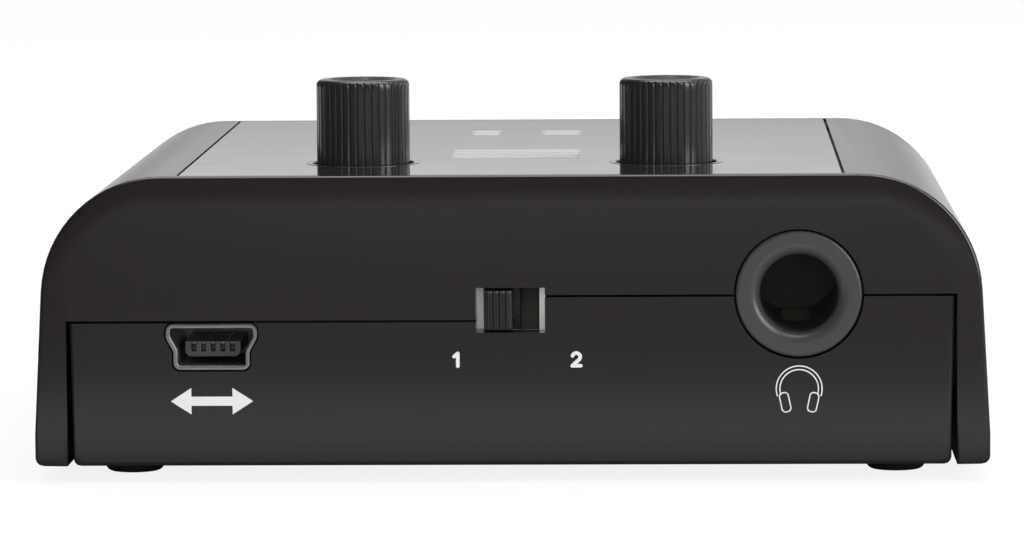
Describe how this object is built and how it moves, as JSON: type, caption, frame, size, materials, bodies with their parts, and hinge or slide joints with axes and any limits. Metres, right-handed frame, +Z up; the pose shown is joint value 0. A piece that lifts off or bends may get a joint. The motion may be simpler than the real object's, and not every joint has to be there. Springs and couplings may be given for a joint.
{
  "type": "phono preamplifier",
  "caption": "Small desktop phono preamplifier: arch-topped moulded case, level dials on top, USB port, slide switch and headphone jack in front, phono jacks and ground terminal behind",
  "frame": {"origin": "middle of the bounding box, on the surface that the feet stand on", "axes": "+Z up, the port face looks along -Y, +X runs to the right as seen facing the port face"},
  "size_m": [0.0788, 0.0738, 0.0324],
  "materials": {
    "case": "fine-grained black ABS",
    "panel": "high-gloss black acrylic",
    "knob": "satin black ABS",
    "socket": "smooth black nylon",
    "slider": "satin black POM",
    "rubber": "dull black",
    "steel": "bright tin plate",
    "nickel": "bright nickel plate",
    "gold": "gold plate",
    "zinc": "zinc plate",
    "housing": "dark grey phenolic",
    "laminate": "green solder resist on glass epoxy",
    "white_nylon": "smooth white nylon",
    "red_nylon": "smooth red nylon",
    "epoxy": "dull black epoxy",
    "can": "bright can",
    "sleeving": "blue shrink sleeve"
  },
  "bodies": {
    "case": {"upper_cover": "case", "base_shell": "case", "top_panel": "panel", "left_pot_housing": "housing", "right_pot_housing": "housing", "left_pot_bracket": "steel", "right_pot_bracket": "steel", "left_pot_terminals": "steel", "right_pot_terminals": "steel", "circuit_board": "laminate", "usb_shell": "steel", "usb_tongue": "socket", "usb_contacts": "gold", "switch_frame": "steel", "switch_base": "housing", "switch_terminals": "steel", "jack_housing": "socket", "jack_springs": "nickel", "input_jack_block": "socket", "output_jack_block": "socket", "input_left_sleeve": "nickel", "input_right_sleeve": "nickel", "output_left_sleeve": "nickel", "output_right_sleeve": "nickel", "input_left_insulator": "white_nylon", "input_right_insulator": "red_nylon", "output_left_insulator": "white_nylon", "output_right_insulator": "red_nylon", "input_left_contact": "gold", "input_right_contact": "gold", "output_left_contact": "gold", "output_right_contact": "gold", "ground_post": "nickel", "ground_bracket": "steel", "ground_hex_nut": "nickel", "codec_chip": "epoxy", "preamp_chips": "epoxy", "crystal": "can", "electrolytic_capacitors": "sleeving", "case_screws": "zinc", "front_left_foot": "rubber", "front_right_foot": "rubber", "rear_left_foot": "rubber", "rear_right_foot": "rubber"},
    "left_dial": {"left_knob": "knob", "left_pot_shaft": "nickel"},
    "right_dial": {"right_knob": "knob", "right_pot_shaft": "nickel"},
    "slider": {"switch_slider": "slider"},
    "washer": {"ground_washer": "nickel"},
    "thumb_nut": {"ground_thumb_nut": "nickel"}
  },
  "joints": [
    {"name": "left_knob_turn", "type": "hinge", "parent": "case", "child": "left_dial", "pos_m": [-0.0128, -0.0223, 0.0253], "axis": [0, 0, 1], "range_deg": [-150, 150]},
    {"name": "right_knob_turn", "type": "hinge", "parent": "case", "child": "right_dial", "pos_m": [0.0128, -0.0223, 0.0253], "axis": [0, 0, 1], "range_deg": [-150, 150]},
    {"name": "switch_slide", "type": "slide", "parent": "case", "child": "slider", "axis": [1, 0, 0], "range_m": [0, 0.002]},
    {"name": "ground_washer_travel", "type": "slide", "parent": "case", "child": "washer", "axis": [0, 1, 0], "range_m": [0, 0.0021]},
    {"name": "ground_nut_turn", "type": "hinge", "parent": "washer", "child": "thumb_nut", "pos_m": [-0.02875, 0.0333, 0.01545], "axis": [0, 1, 0], "range_deg": [0, 1080]}
  ],
  "couplings": [
    {"joint": "ground_nut_turn", "follows": "ground_washer_travel", "rad_per_m": 8976}
  ]
}
